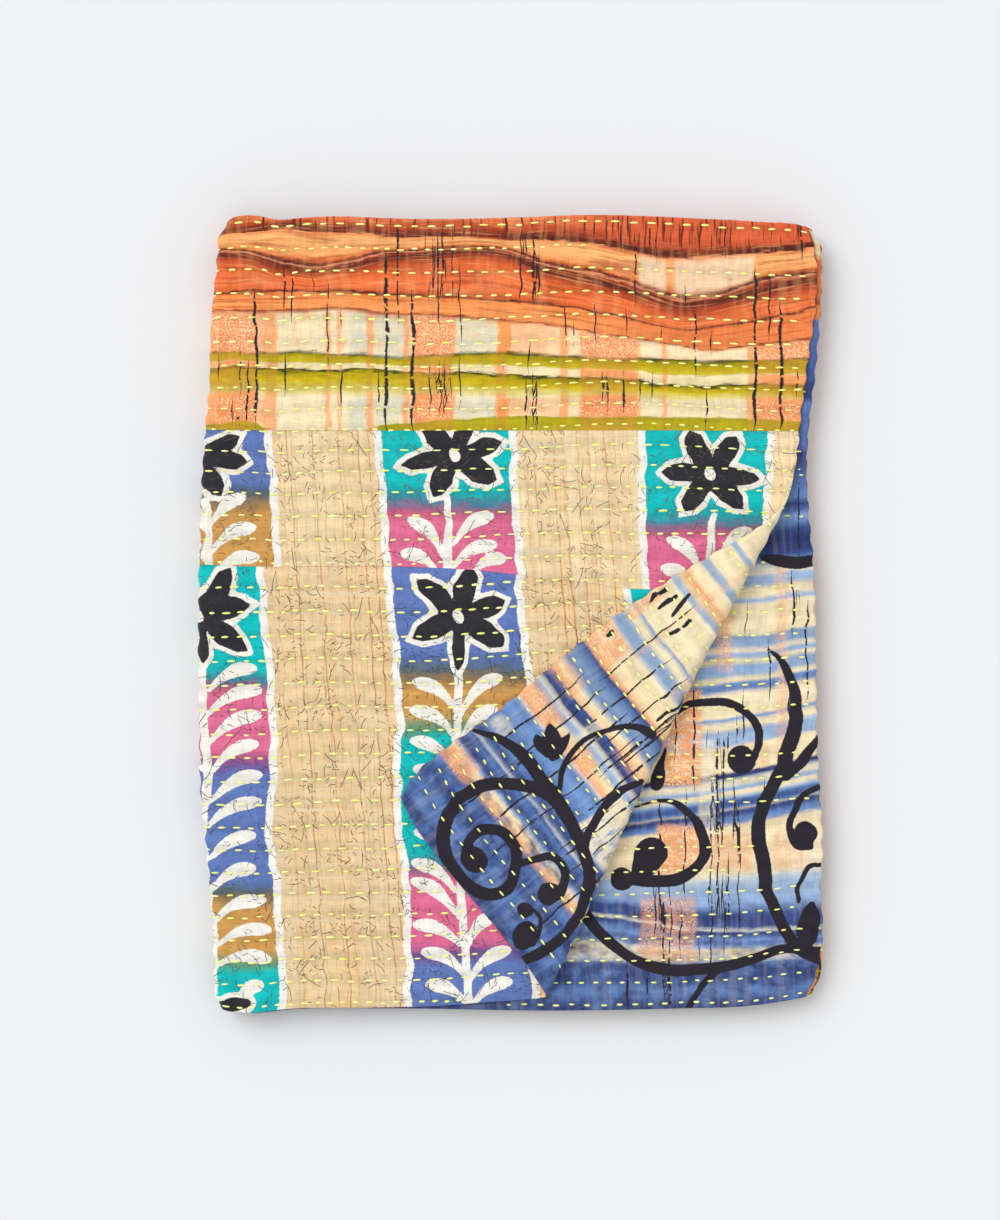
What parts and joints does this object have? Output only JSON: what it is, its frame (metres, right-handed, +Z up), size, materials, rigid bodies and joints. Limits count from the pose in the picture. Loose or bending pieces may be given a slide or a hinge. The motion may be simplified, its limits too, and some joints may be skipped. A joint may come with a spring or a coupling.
{
  "type": "folded quilt",
  "caption": "Kantha quilt of printed patchwork cotton with running-stitch rows, folded flat, one corner turned back to show its reverse.",
  "frame": {"origin": "middle of the footprint, on the surface that the quilt lies on", "axes": "+X to the right along the folded quilt's width, +Y to the half fold at the back, +Z up"},
  "size_m": [0.496, 0.6312, 0.0435],
  "materials": {
    "quilted_cotton": "soft washed printed cotton, matt, hand quilted with running stitch"
  },
  "bodies": {
    "root": {"quilt": "quilted_cotton"}
  },
  "joints": []
}
